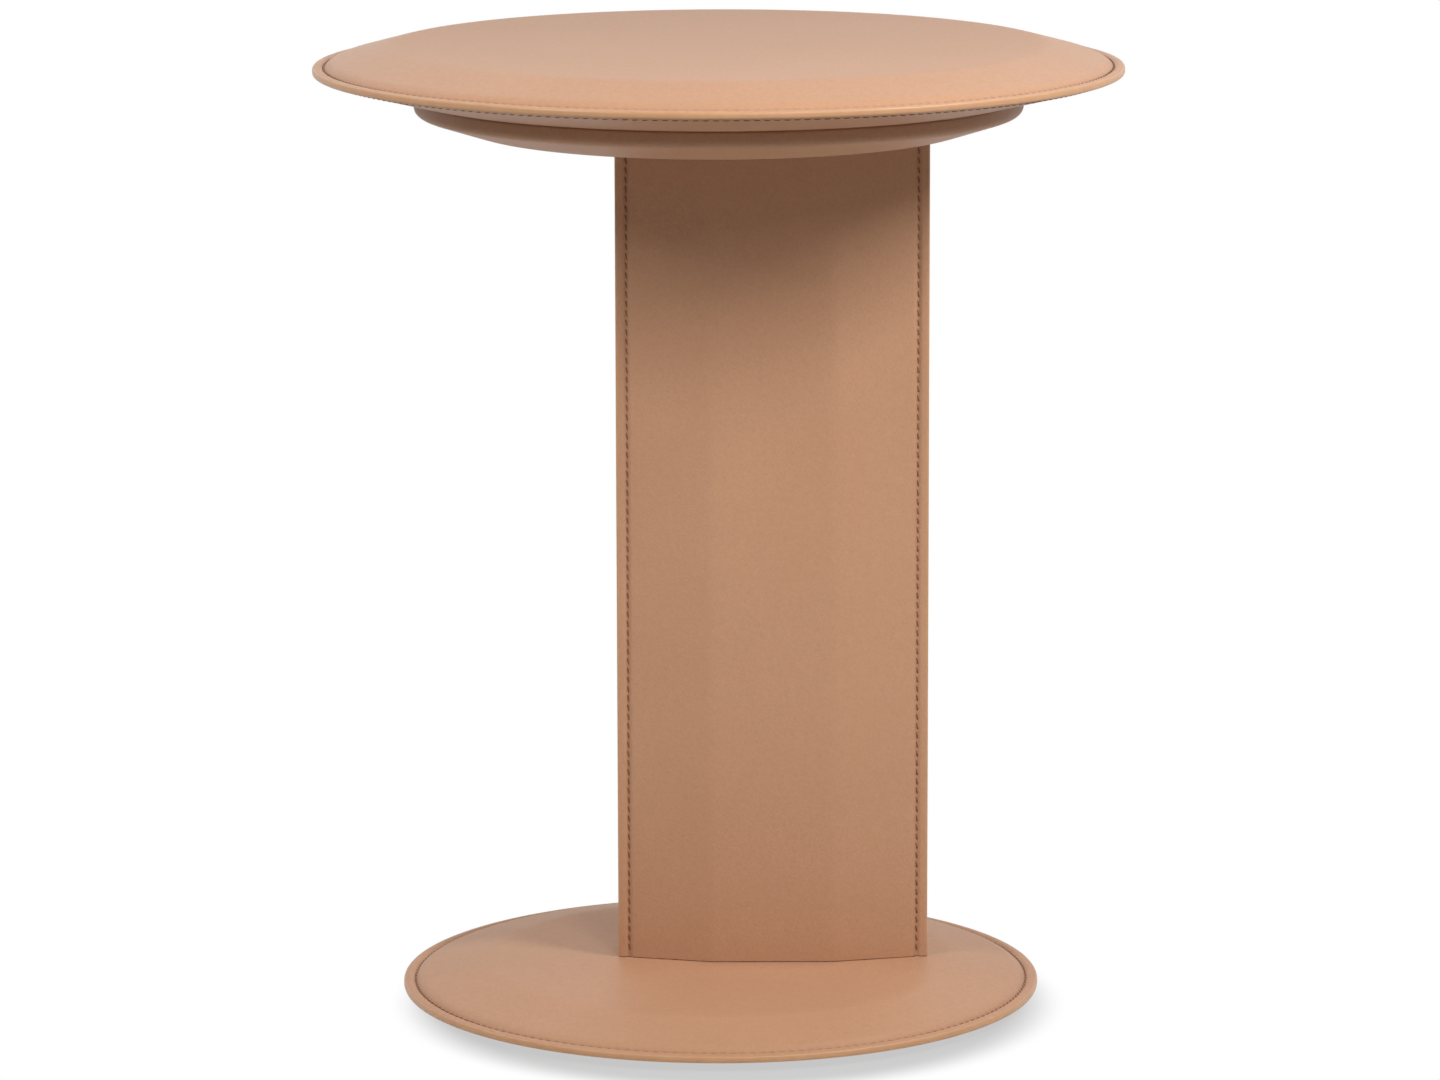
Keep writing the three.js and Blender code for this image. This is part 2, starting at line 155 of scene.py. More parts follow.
# Rim formers and the column's edge strips. Bonded leather board, skived to a wedge where it
# fills the rims: brown, matt, pressed from shredded leather, so short flecks lie in it.
bonded_leather, tree, shader, place = bare_material("bonded_leather_board")
flecks = node(tree, "TexVoronoi", {
    "Vector": node(tree, "Mapping", {"Vector": place, "Scale": (1, 1, 2.5)}).outputs["Vector"],
    "Scale": 1 / (1.4 * mm),
})
tone = node(tree, "Mix", {
    0: flecks.outputs["Distance"], 6: linear("#9a7755"), 7: linear("#6f5039"),
}, data_type="RGBA")
pressed_face = node(tree, "Bump", {"Height": flecks.outputs["Distance"], "Distance": 0.05 * mm})
set_inputs(tree, shader, {
    "Base Color": tone.outputs[2], "Roughness": 0.86, "Normal": pressed_face.outputs["Normal"],
})
dress(
    bonded_leather, "top_rim_former", "base_rim_former",
    "column_edge_strip_left", "column_edge_strip_right",
)


# Base padding. A 2 mm sheet of dense upholstery foam is glued to the base's board under the
# leather, cut out round the posts, with its edge skived so that it doesn't show.
LEATHER = 1.4 * mm
FOAM = 2 * mm
FOAM_EDGE = 1 * mm
GLUE_LINE = 0.3 * mm
BASE_RADIUS = 200 * mm
BASE_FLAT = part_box("base_cover_leather")[1].z
BASE_RIM_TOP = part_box("base_cover_leather")[0].z + LEATHER
BASE_CREASE = 146 * mm
BASE_SHOULDER = 187.5 * mm
BASE_SHOULDER_HIGH = 3 * mm
BASE_SEAM = 192.5 * mm
COLUMN_MIDDLE = 33 * mm
OPENING_HALF = np.array([40, 11.5]) * mm


def eased(past, reach):
    """How far past a bend a place lies, eased: reach times log(1 + e to the power past / reach)."""
    return reach * np.logaddexp(0, past / reach)


def crown(radius, flat, crease, shoulder, seam):
    """Height of a padded disc's leather over the radius. Each bend is (radius, height, reach),
    and adds its change of slope, times how far past it the place lies, to the flat's height."""
    bends = [crease, shoulder, seam]
    heights = [flat, shoulder[1], seam[1]]
    slopes = [0.0]
    for (start, _, _), (end, _, _), high, low in zip(bends, bends[1:], heights, heights[1:]):
        slopes.append((low - high) / (end - start))
    slopes.append(0.0)
    height = np.full_like(radius, flat)
    for (at, _, reach), before, after in zip(bends, slopes, slopes[1:]):
        height += (after - before) * eased(radius - at, reach)
    return height


def base_crown(radius):
    """Height of the base's leather over the radius, before any seam presses it."""
    return crown(
        radius, BASE_FLAT,
        (BASE_CREASE, BASE_FLAT, 2.2 * mm),
        (BASE_SHOULDER, BASE_RIM_TOP + BASE_SHOULDER_HIGH, 1 * mm),
        (BASE_SEAM, BASE_RIM_TOP, 0.6 * mm),
    )


def opened(radii, angles):
    """A flat grid of points in rings. The first five rings go in even steps from the opening
    for the posts, a superellipse of exponent 12, to the first radius, and the rest are
    circles."""
    round_it = np.stack([np.cos(angles), np.sin(angles)], -1)
    squared = np.sign(round_it) * np.abs(round_it) ** (1 / 6)
    opening = squared * OPENING_HALF + [COLUMN_MIDDLE, 0]
    share = np.linspace(0, 1, 6)[:-1, None, None]
    inner = opening * (1 - share) + round_it * radii[0] * share
    return np.concatenate([inner, round_it * radii[:, None, None]])


def new_piece(name, points, faces, material, marks):
    """A smooth piece from its points and faces. Each mark is a value at every point, kept under
    its name for the material."""
    mesh = bpy.data.meshes.new(name)
    mesh.from_pydata(points.tolist(), [], faces)
    mesh.materials.append(material)
    mesh.shade_smooth()
    for mark, values in marks.items():
        data = mesh.attributes.new(mark, "FLOAT", "POINT").data
        data.foreach_set("value", values.astype(np.float32))
    piece = bpy.data.objects.new(name, mesh)
    bpy.context.scene.collection.objects.link(piece)
    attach(piece, "root")
    return piece


def surface(name, points, material, joined=True, loop=False, marks=()):
    """A new piece from a grid of points, [row, column, xyz]. Its faces look along the row's
    direction times the column's (their cross product). Columns join up all round if joined,
    rows if loop, and an end row that is one single place becomes a pole. Each mark is a
    value at every point of the grid."""
    index = np.arange(points.shape[0] * points.shape[1]).reshape(points.shape[:2])
    for end in (0, -1):
        if np.ptp(points[end], axis=0).max() < 1e-9:
            index[end] = index[end, 0]
    index = np.vstack([index, index[:1]]) if loop else index
    index = np.hstack([index, index[:, :1]]) if joined else index
    faces = np.stack([index[:-1, :-1], index[1:, :-1], index[1:, 1:], index[:-1, 1:]], -1)
    used, faces = np.unique(faces, return_inverse=True)
    faces = faces.reshape(-1, 4)
    first_pole, last_pole = faces[:, 0] == faces[:, 3], faces[:, 1] == faces[:, 2]
    rest = faces[~(first_pole | last_pole)]
    triangles = np.vstack([faces[first_pole][:, :3], faces[last_pole][:, [0, 1, 3]]])
    marks = {mark: values.reshape(-1)[used] for mark, values in dict(marks).items()}
    return new_piece(
        name, points.reshape(-1, 3)[used], rest.tolist() + triangles.tolist(),
        material, marks,
    )


def pad(flat_grid, height, edge):
    """A closed sheet of foam over a flat grid: it lies a leather's thickness and a glue line
    under a height over the radius, and its edge is half of an ellipse over the last
    millimetre."""
    radius = np.hypot(flat_grid[..., 0], flat_grid[..., 1])
    past = np.clip((radius - edge + FOAM_EDGE) / FOAM_EDGE, 0, 0.99)
    thinner = (1 - np.sqrt(1 - past**2)) * FOAM / 2
    upper = height(radius) - LEATHER - GLUE_LINE - thinner
    lower = height(radius) - LEATHER - GLUE_LINE - FOAM + thinner
    faces = [np.concatenate([flat_grid, z[..., None]], -1) for z in (upper, lower)]
    return np.concatenate([faces[0], faces[1][::-1]])


# Foam: polyurethane, cream, with open cells a fifth of a millimetre wide, drawn four times
# as wide here so that they show. The cells' hollows are painted darker, as shade.
foam, tree, shader, place = bare_material("upholstery_foam")
cells = node(tree, "TexVoronoi", {
    "Vector": place, "Scale": 1 / (0.8 * mm),
}, feature="DISTANCE_TO_EDGE")
struts = node(tree, "MapRange", {"Value": cells.outputs["Distance"], "From Max": 0.25})
# Painted shade: the cream darkens towards the sunk middle of each open cell.
tone = node(tree, "Mix", {
    0: struts.outputs["Result"], 6: linear("#efe6d0"), 7: linear("#cdbf9f"),
}, data_type="RGBA")
open_cells = node(tree, "Bump", {
    "Height": struts.outputs["Result"], "Distance": 0.25 * mm,
}, invert=True)
set_inputs(tree, shader, {
    "Base Color": tone.outputs[2], "Roughness": 1, "Normal": open_cells.outputs["Normal"],
    "Sheen Weight": 0.25,
})

angles = np.linspace(0, 2 * np.pi, 128, endpoint=False)
foam_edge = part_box("base_foam_pad")[1].x
radii = np.concatenate([np.linspace(110, 140, 4), np.linspace(142, 152, 6)]) * mm
radii = np.concatenate([radii, np.linspace(158 * mm, foam_edge, 12)])
base_pad = surface(
    "base_padding", pad(opened(radii, angles), base_crown, foam_edge), foam, loop=True,
)
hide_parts("base_foam_pad")


# Base leathers. One disc of vegetable-tanned saddle leather, 1.4 mm thick, is drawn over the
# padding and down to the rim, and a ring of the same leather lies under the rim. Both are
# sewn together 7.5 mm in from the edge, through the rim former between them.
STITCH = 5.95 * mm
GROOVE_DEEP = 0.7 * mm
GROOVE_WIDE = 1.2 * mm
PUCKER_DEEP = 0.25 * mm
PUCKER_WIDE = 2.4 * mm
FLANGE_MIDDLE = 2.8 * mm


def press(across, along):
    """How deep a row of stitches draws the leather in: a bell curve across the row, the groove,
    and a wider one, the puckers, times a wave along the row that is full at each hole."""
    holes = 0.5 + 0.5 * np.cos(2 * np.pi * along)
    groove = GROOVE_DEEP * np.exp(-((across / GROOVE_WIDE) ** 2))
    return groove + PUCKER_DEEP * np.exp(-((across / PUCKER_WIDE) ** 2)) * holes


def flange(past, high):
    """How far the leather between a seam and the edge puffs up: a bell curve over the distance
    past the seam, round the flange's middle, and twice as wide on the edge's side."""
    wide = np.where(past < FLANGE_MIDDLE, 1.5 * mm, 3 * mm)
    return high * np.exp(-(((past - FLANGE_MIDDLE) / wide) ** 2))


def painted_seam_shade(across, along, most):
    """How much painted shade darkens the leather beside a row of stitches, as in its groove: a bell
    curve across the row, times a wave along it that is at its most beside a stitch and half that
    at the holes."""
    wave = 0.75 - 0.25 * np.cos(2 * np.pi * along)
    return most * np.exp(-((across / GROOVE_WIDE) ** 2)) * wave


def thicken(piece):
    """Gives a sheet the leather's thickness on its hidden side, and rounds its cut edges."""
    solid = piece.modifiers.new("thickness", "SOLIDIFY")
    solid.thickness, solid.offset, solid.use_even_offset = LEATHER, -1, True
    cut = piece.modifiers.new("cut_edge", "BEVEL")
    cut.width, cut.segments, cut.limit_method = 0.25 * mm, 2, "ANGLE"
    cut.angle_limit = math.radians(55)


# Saddle leather: cowhide, drum dyed tan and finished with a thin matt wax. It reads as one
# even tan with faint clouds a hand wide, fibre mottle of a few millimetres, and pebbled
# grain with the dye darker in its creases. The real grain is a third of a millimetre, drawn
# as 1.3 mm so that it shows. Beside each seam the leather is painted darker, as shade in
# the seam's groove.
leather, tree, shader, place = bare_material("tan_saddle_leather")
clouds = node(tree, "TexNoise", {"Vector": place, "Scale": 1 / (80 * mm), "Detail": 3})
mottle = node(tree, "TexNoise", {
    "Vector": place, "Scale": 1 / (4 * mm), "Detail": 4, "Roughness": 0.6,
})
grain = node(tree, "TexVoronoi", {"Vector": place, "Scale": 1 / (1.3 * mm)}, feature="SMOOTH_F1")
seam = node(tree, "Attribute", {}, attribute_name="seam")
dye = node(tree, "Mix", {
    0: clouds.outputs["Fac"], 6: linear("#c89979"), 7: linear("#d1a382"),
}, data_type="RGBA")
patches = node(tree, "MapRange", {"Value": mottle.outputs["Fac"], "To Min": 0.1, "To Max": 0.5})
fibre = node(tree, "Mix", {
    0: patches.outputs["Result"], 6: dye.outputs[2], 7: linear("#b98966"),
}, data_type="RGBA")
creases = node(tree, "Math", {0: grain.outputs["Distance"], 1: 0.2}, operation="MULTIPLY")
pebbled = node(tree, "Mix", {
    0: creases.outputs[0], 6: fibre.outputs[2], 7: linear("#8f6142"),
}, data_type="RGBA")
# Beside each seam the seam mark paints the leather darker: painted shade in the seam's groove.
tone = node(tree, "Mix", {
    0: seam.outputs["Fac"], 6: pebbled.outputs[2], 7: linear("#7b4f33"),
}, data_type="RGBA")
wax = node(tree, "MapRange", {"Value": mottle.outputs["Fac"], "To Min": 0.44, "To Max": 0.58})
hide = node(tree, "Bump", {"Height": mottle.outputs["Fac"], "Distance": 0.12 * mm})
pebbles = node(tree, "Bump", {
    "Height": grain.outputs["Distance"], "Distance": 0.1 * mm, "Normal": hide.outputs["Normal"],
}, invert=True)
set_inputs(tree, shader, {
    "Base Color": tone.outputs[2], "Roughness": wax.outputs["Result"], "IOR": 1.36,
    "Normal": pebbles.outputs["Normal"], "Sheen Weight": 0.12, "Sheen Roughness": 0.3,
})

BASE_PUFF = 0.8 * mm
# The most painted shade beside the seams: above the rims, and more below them, where they lie in
# shade.
SEAM_SHADE_ABOVE = 0.42
SEAM_SHADE_BELOW = 0.65
base_stitches = round(2 * np.pi * BASE_SEAM / STITCH)
angles = np.linspace(0, 2 * np.pi, 2 * base_stitches, endpoint=False)
along = angles * base_stitches / (2 * np.pi)
radii = np.concatenate([
    np.linspace(118, 138, 3), np.linspace(141, 155, 8), np.linspace(160, 184, 6),
    np.linspace(186, 191, 6), np.linspace(191.4, 193.6, 7), np.linspace(194.2, 198.8, 7),
]) * mm
flat_grid = opened(radii, angles)
radius = np.hypot(flat_grid[..., 0], flat_grid[..., 1])
past = radius - BASE_SEAM
height = base_crown(radius) - press(past, along) + flange(past, BASE_PUFF)
base_leather = surface(
    "base_leather", np.concatenate([flat_grid, height[..., None]], -1), leather,
    marks={"seam": painted_seam_shade(past, along, SEAM_SHADE_ABOVE)},
)
thicken(base_leather)
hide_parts("base_cover_leather")


def turned(radius, height, angles):
    """Points of a profile, radius and height, carried round the Z axis to each angle. Either
    may also differ from angle to angle."""
    radius, height = np.broadcast_arrays(*(np.reshape(v, (len(v), -1)) for v in (radius, height)))
    shape = np.broadcast_shapes(radius.shape, angles.shape)
    return np.stack([radius * np.cos(angles), radius * np.sin(angles),
                     np.broadcast_to(height, shape)], -1)


BASE_RIM_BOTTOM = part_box("base_underside_leather")[0].z
radii = np.concatenate([
    np.linspace(198.8, 194.2, 6), np.linspace(193.6, 191.4, 7), np.linspace(190.6, 186, 5),
    np.linspace(180, 160, 3),
]) * mm
across = radii[:, None] - BASE_SEAM
base_underside = surface(
    "base_underside", turned(radii, BASE_RIM_BOTTOM + press(across, along), angles),
    leather, marks={"seam": painted_seam_shade(across, along, SEAM_SHADE_BELOW)},
)
thicken(base_underside)
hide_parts("base_underside_leather")


# Base seam. Waxed polyester thread, brown, a saddle stitch every 6 mm: each stitch is a short
# cord 1 mm thick that leans a little and dives into its two holes.
THREAD = 1 * mm
THREAD_TWIST = 1.3 * mm
STITCH_SEEN = 5 * mm
STITCH_LEAN = 0.55 * mm
STITCH_OUT = 0.1 * mm
STITCH_DROP = 0.8 * mm
STITCH_RINGS, STITCH_SIDES = 7, 6


def stitches(name, middles, along, out, seen=STITCH_SEEN):
    """One stitch at each middle, along and out being unit vectors there. Its line leans across
    the row, stands a little out and drops by the sixth power of the way to its ends, and its
    thickness shrinks with the square root of one less 0.85 times that power."""
    u = np.linspace(-1, 1, STITCH_RINGS)[:, None]
    v = np.linspace(0, 2 * np.pi, STITCH_SIDES, endpoint=False)
    side = np.cross(along, out)
    girth = THREAD / 2 * np.sqrt(1 - 0.85 * u**6)
    forward = u * seen / 2 + 0 * v
    sideways = girth * np.cos(v) - STITCH_LEAN * u
    upward = girth * np.sin(v) + STITCH_OUT - STITCH_DROP * u**6
    local = np.stack([forward, sideways, upward], -1).reshape(-1, 3)
    axes = np.stack([along, side, out], 1)
    points = middles[:, None] + np.einsum("pk,nkc->npc", local, axes)
    ring = np.arange(STITCH_RINGS * STITCH_SIDES).reshape(STITCH_RINGS, STITCH_SIDES)
    after = np.roll(ring, -1, 1)
    sides = np.stack([ring[:-1], ring[1:], after[1:], after[:-1]], -1).reshape(-1, 4)
    first = np.arange(len(middles))[:, None, None] * ring.size
    quads = (sides + first).reshape(-1, 4)
    ends = (np.stack([ring[0], ring[-1][::-1]]) + first).reshape(-1, STITCH_SIDES)
    twist = u * seen / 2 / THREAD_TWIST + v / (2 * np.pi) + np.zeros((len(middles), 1, 1))
    return new_piece(
        name, points.reshape(-1, 3), quads.tolist() + ends.tolist(),
        thread, {"ply": twist.reshape(-1)},
    )


def stitch_circle(name, radius, height, count, slope, seen=STITCH_SEEN):
    """A row of stitches round the discs' axis. It faces up where the slope is None, and else
    down, the slope being the leather's fall towards the axis."""
    middle = (np.arange(count) + 0.5) * 2 * np.pi / count
    outward = np.stack([np.cos(middle), np.sin(middle), 0 * middle], -1)
    along = np.stack([-np.sin(middle), np.cos(middle), 0 * middle], -1)
    up = np.array([0, 0, 1.0])
    out = outward * slope - up if slope is not None else np.broadcast_to(up, outward.shape)
    out = out / np.linalg.norm(out, axis=-1, keepdims=True)
    return stitches(name, outward * radius + up * height, along, out, seen)


# Thread: three plies twisted together, drawn as pale ridges and dark grooves round each stitch,
# the grooves' darker colour being painted shade between the plies, with the low shine of wax.
thread, tree, shader, place = bare_material("waxed_brown_thread")
ply = node(tree, "Attribute", {}, attribute_name="ply")
turns = node(tree, "Math", {0: ply.outputs["Fac"], 1: 2 * math.pi}, operation="MULTIPLY")
wave = node(tree, "Math", {0: turns.outputs[0]}, operation="SINE")
ply_ridge_and_shade = node(tree, "MapRange", {"Value": wave.outputs[0], "From Min": -1, "From Max": 1})
# Painted shade: the thread is darker where the grooves between its plies sink.
tone = node(tree, "Mix", {
    0: ply_ridge_and_shade.outputs["Result"], 6: linear("#6d4529"), 7: linear("#8e5f3c"),
}, data_type="RGBA")
plies = node(tree, "Bump", {"Height": ply_ridge_and_shade.outputs["Result"], "Distance": 0.1 * mm})
set_inputs(tree, shader, {
    "Base Color": tone.outputs[2], "Roughness": 0.5, "Normal": plies.outputs["Normal"],
})

BASE_THREAD_SUNK, BASE_THREAD_SUNK_BELOW = 0.6 * mm, 0.7 * mm
above = float(base_crown(np.array([BASE_SEAM]))[0]) - BASE_THREAD_SUNK
stitch_circle("base_seam_upper", BASE_SEAM, above, base_stitches, None)
below = BASE_RIM_BOTTOM + BASE_THREAD_SUNK_BELOW
stitch_circle("base_seam_lower", BASE_SEAM, below, base_stitches, 0)


# Base rim edge. The cut edges of both leathers are sanded flush and covered with acrylic edge
# paint, which dries to a smooth rounded bead a little brighter than the hide.
EDGE_DEEP = 1.2 * mm
EDGE_HALF = 2.1 * mm


def bead_section(turn):
    """How far a bead of edge paint reaches across and up at each angle round it: a superellipse
    of exponent 2.6, 2.4 mm by 4.2 mm."""
    across, up = [np.sign(f(turn)) * np.abs(f(turn)) ** (2 / 2.6) for f in (np.cos, np.sin)]
    return EDGE_DEEP * across, EDGE_HALF * up


def bead(name, radius, height, angles):
    """A ring of edge paint: the bead's section carried round the Z axis."""
    across, up = bead_section(np.linspace(0, -2 * np.pi, 24, endpoint=False))
    points = turned(radius - EDGE_DEEP + across, height + up, angles)
    return surface(name, points, edge_paint, loop=True)


# Edge paint: two or three coats, satin, that level out to long shallow waves.
edge_paint, tree, shader, place = bare_material("tan_edge_paint")
coats = node(tree, "TexNoise", {"Vector": place, "Scale": 1 / (9 * mm), "Detail": 2})
tone = node(tree, "Mix", {
    0: coats.outputs["Fac"], 6: linear("#c18f67"), 7: linear("#cd9d73"),
}, data_type="RGBA")
waves = node(tree, "Bump", {"Height": coats.outputs["Fac"], "Distance": 0.25 * mm})
set_inputs(tree, shader, {
    "Base Color": tone.outputs[2], "Roughness": 0.4, "Normal": waves.outputs["Normal"],
})

rim_angles = np.linspace(0, 2 * np.pi, 360, endpoint=False)
base_mid = (BASE_RIM_TOP + BASE_RIM_BOTTOM) / 2
bead("base_rim_edge", BASE_RADIUS, base_mid, rim_angles)


# Column leathers. A front and a back panel are glued over the fairings, which give them a
# flat middle and two slanting sides, and are sewn to each other 7 mm in from the edges.
COLUMN_HALF = 97.5 * mm
COLUMN_FACE_HALF = 38.5 * mm
COLUMN_SHOULDER = 89 * mm
COLUMN_SEAM = 90.5 * mm
COLUMN_HALF_DEPTH = 15.5 * mm
COLUMN_SIDE_SLOPE = -12.3 / 50.5
COLUMN_SHOULDER_SLOPE = -1.2 / 1.5
COLUMN_PUFF = 0.35 * mm
# The most painted shade beside the column's seams.
COLUMN_SEAM_SHADE = 0.15
COLUMN_SEAM_START = 3 * mm
COLUMN_SEAM_END = 2 * mm
column_low, column_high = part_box("column_cover_front")


def column_depth(across):
    """Half the column's depth over the distance from its middle line. Three eased bends, at the
    face's edge, the shoulder and the seam, turn its slope to the side's, the shoulder's and
    none."""
    x = np.abs(across)
    depth = COLUMN_HALF_DEPTH + COLUMN_SIDE_SLOPE * eased(x - COLUMN_FACE_HALF, 1.3 * mm)
    depth += (COLUMN_SHOULDER_SLOPE - COLUMN_SIDE_SLOPE) * eased(x - COLUMN_SHOULDER, 0.5 * mm)
    return depth - COLUMN_SHOULDER_SLOPE * eased(x - COLUMN_SEAM, 0.4 * mm)


half = np.concatenate([
    np.linspace(0, 32, 4), np.linspace(34, 44, 11), np.linspace(50, 83, 6),
    np.linspace(85.5, 88.5, 5), np.linspace(89, 92, 11), np.linspace(93, 96.3, 6),
]) * mm
across = np.concatenate([-half[::-1], half[1:]])
stitch_start = column_low.z + COLUMN_SEAM_START
column_stitches = int((column_high.z - COLUMN_SEAM_END - stitch_start) / STITCH)
rows_of_holes = stitch_start + np.arange(2 * column_stitches + 1) * STITCH / 2
ends = np.array([0, 0.3, 0.9]) * mm
heights = np.concatenate([column_low.z + ends, rows_of_holes, column_high.z - ends[::-1]])
along = (heights - stitch_start) / STITCH
beside = (np.abs(across) - COLUMN_SEAM)[:, None]
depth = column_depth(across)[:, None] - press(beside, along) + flange(beside, COLUMN_PUFF)
for side, sign in (("front", -1), ("back", 1)):
    grid = np.stack(np.broadcast_arrays(
        COLUMN_MIDDLE - sign * across[:, None], sign * depth, heights), -1)
    panel = surface(
        f"column_leather_{side}", grid, leather, joined=False,
        marks={"seam": painted_seam_shade(beside, along, COLUMN_SEAM_SHADE)},
    )
    thicken(panel)
    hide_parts(f"column_cover_{side}")


# Column seams and edges. The same thread runs up both sides, seen on the front and the back,
# and the same edge paint covers each cut edge from the base to the dish.
COLUMN_THREAD_SUNK = 0.75 * mm
middles = stitch_start + (np.arange(column_stitches) + 0.5) * STITCH
seam_depth = float(column_depth(np.array([COLUMN_SEAM]))[0]) - COLUMN_THREAD_SUNK
for side, sign in (("front", -1), ("back", 1)):
    for hand, turn in (("left", -1), ("right", 1)):
        place_of_row = np.stack(np.broadcast_arrays(
            COLUMN_MIDDLE + turn * COLUMN_SEAM, sign * seam_depth, middles), -1)
        up = np.broadcast_to([0.0, 0, 1], place_of_row.shape)
        out = np.broadcast_to([0.0, sign, 0], place_of_row.shape)
        stitches(f"column_seam_{side}_{hand}", place_of_row, up, out)

bead_heights = np.concatenate([
    column_high.z - np.array([0, 0, 0.3, 0.9]) * mm,
    np.linspace(column_high.z - 10 * mm, column_low.z + 10 * mm, 60),
    column_low.z + np.array([0.9, 0.3, 0, 0]) * mm,
])[:, None]
closed_in = np.ones_like(bead_heights)
closed_in[[0, -1]] = 0
across, up = bead_section(np.linspace(0, 2 * np.pi, 24, endpoint=False))
for hand, sign in (("left", -1), ("right", 1)):
    middle = COLUMN_MIDDLE + sign * (COLUMN_HALF - EDGE_DEEP)
    grid = np.broadcast_arrays(middle + across * closed_in, up * closed_in, bead_heights)
    surface(f"column_edge_{hand}", np.stack(grid, -1), edge_paint)


# Dish. A shallow bowl of the same leather, in one piece, is moulded over its board and hides
# the head plate. It has a low upright wall, a soft bend and a wide cone down to the column,
# and is cut out round the posts.
BEND_STEPS = 8


def bent(corners):
    """A line through corners of (x, y, reach). Each corner becomes a curve from the point that
    lies reach before it to the one reach after: (1-t)^2 first + 2t(1-t) corner + t^2 last."""
    corners = np.array(corners, float)
    places, reach = corners[:, :2], corners[1:-1, 2:]
    back, on = places[:-2] - places[1:-1], places[2:] - places[1:-1]
    first = places[1:-1] + back / np.linalg.norm(back, axis=1, keepdims=True) * reach
    last = places[1:-1] + on / np.linalg.norm(on, axis=1, keepdims=True) * reach
    t = np.linspace(0, 1, BEND_STEPS)[:, None]
    curves = [(1 - t) ** 2 * a + 2 * t * (1 - t) * b + t**2 * c
              for a, b, c in zip(first, places[1:-1], last)]
    return np.concatenate([places[:1], *curves, places[-1:]])


DISH_LIP = 172 * mm
DISH_RADIUS = 188 * mm
DISH_WALL = 10 * mm
DISH_FLAT = 150 * mm
DISH_INNER = 118 * mm
dish_low, dish_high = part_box("dish_cover_leather")
profile = bent([
    (DISH_LIP, dish_high.z, 0), (DISH_RADIUS, dish_high.z, 1.8 * mm),
    (DISH_RADIUS, dish_high.z - DISH_WALL, 4.5 * mm), (DISH_FLAT, dish_low.z, 6 * mm),
    (DISH_INNER, dish_low.z, 0),
])
angles = np.linspace(0, 2 * np.pi, 256, endpoint=False)
polar = turned(profile[:, 0], profile[:, 1], angles)
inner = opened(np.array([DISH_INNER]), angles)[:-1][::-1]
level = np.full(inner.shape[:2] + (1,), dish_low.z)
dish = surface(
    "dish_leather", np.concatenate([polar, np.concatenate([inner, level], -1)]),
    leather,
)
thicken(dish)
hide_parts("dish_cover_leather")


# Top padding. The same 2 mm foam lies between the top's board and its leather, out to the
# rim former.
TOP_RADIUS = 250 * mm
TOP_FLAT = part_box("top_cover_leather")[1].z
TOP_RIM_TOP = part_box("top_cover_leather")[0].z + LEATHER
TOP_CREASE = 203 * mm
TOP_SHOULDER = 238 * mm
TOP_SHOULDER_HIGH = 3.6 * mm
TOP_SEAM = 243 * mm


def top_crown(radius):
    """Height of the top's leather over the radius, before any seam presses it."""
    return crown(
        radius, TOP_FLAT,
        (TOP_CREASE, TOP_FLAT, 2 * mm),
        (TOP_SHOULDER, TOP_RIM_TOP + TOP_SHOULDER_HIGH, 1.2 * mm),
        (TOP_SEAM, TOP_RIM_TOP, 0.6 * mm),
    )


def rings(radii, angles):
    """A flat grid of points in circles round the Z axis."""
    return turned(radii, 0 * radii, angles)[..., :2]


foam_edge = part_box("top_foam_pad")[1].x
radii = np.concatenate([[0, 60, 120, 180], np.linspace(190, 214, 11)]) * mm
radii = np.concatenate([radii, np.linspace(218 * mm, foam_edge, 12)])
angles = np.linspace(0, 2 * np.pi, 160, endpoint=False)
top_pad = surface(
    "top_padding", pad(rings(radii, angles), top_crown, foam_edge), foam,
)
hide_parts("top_foam_pad")


# Top leathers. A disc over the padding, with a flat middle, a sloping ring and a drawn-in
# shoulder, and a shallow cone under the rim, sewn together 7 mm in from the edge.
TOP_PUFF = 0.55 * mm
top_stitches = round(2 * np.pi * TOP_SEAM / STITCH)
angles = np.linspace(0, 2 * np.pi, 2 * top_stitches, endpoint=False)
along = angles * top_stitches / (2 * np.pi)
radii = np.concatenate([
    [0, 70, 140], np.linspace(185, 215, 13), np.linspace(219, 232, 5),
    np.linspace(234, 241.5, 9), np.linspace(241.9, 244.1, 7), np.linspace(244.8, 248.8, 7),
]) * mm
across = radii[:, None] - TOP_SEAM
height = top_crown(radii)[:, None] - press(across, along) + flange(across, TOP_PUFF)
top_leather = surface(
    "top_leather", turned(radii, height, angles), leather,
    marks={"seam": painted_seam_shade(across, along, SEAM_SHADE_ABOVE)},
)
thicken(top_leather)
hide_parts("top_cover_leather")

UNDER_BEND = 192 * mm
UNDER_SLOPE = 14.3 / 58
under_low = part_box("top_underside_leather")[0].z
radii = np.concatenate([
    np.linspace(248.8, 244.8, 6), np.linspace(244.1, 241.9, 7), np.linspace(241, 234, 6),
    np.linspace(228, 200, 5), np.linspace(197, 187, 9), np.linspace(182, 175, 2),
]) * mm
across = radii[:, None] - TOP_SEAM
height = under_low + UNDER_SLOPE * eased(radii - UNDER_BEND, 0.8 * mm)[:, None]
top_underside = surface(
    "top_underside", turned(radii, height + press(across, along), angles),
    leather, marks={"seam": painted_seam_shade(across, along, SEAM_SHADE_BELOW)},
)
thicken(top_underside)
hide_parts("top_underside_leather")


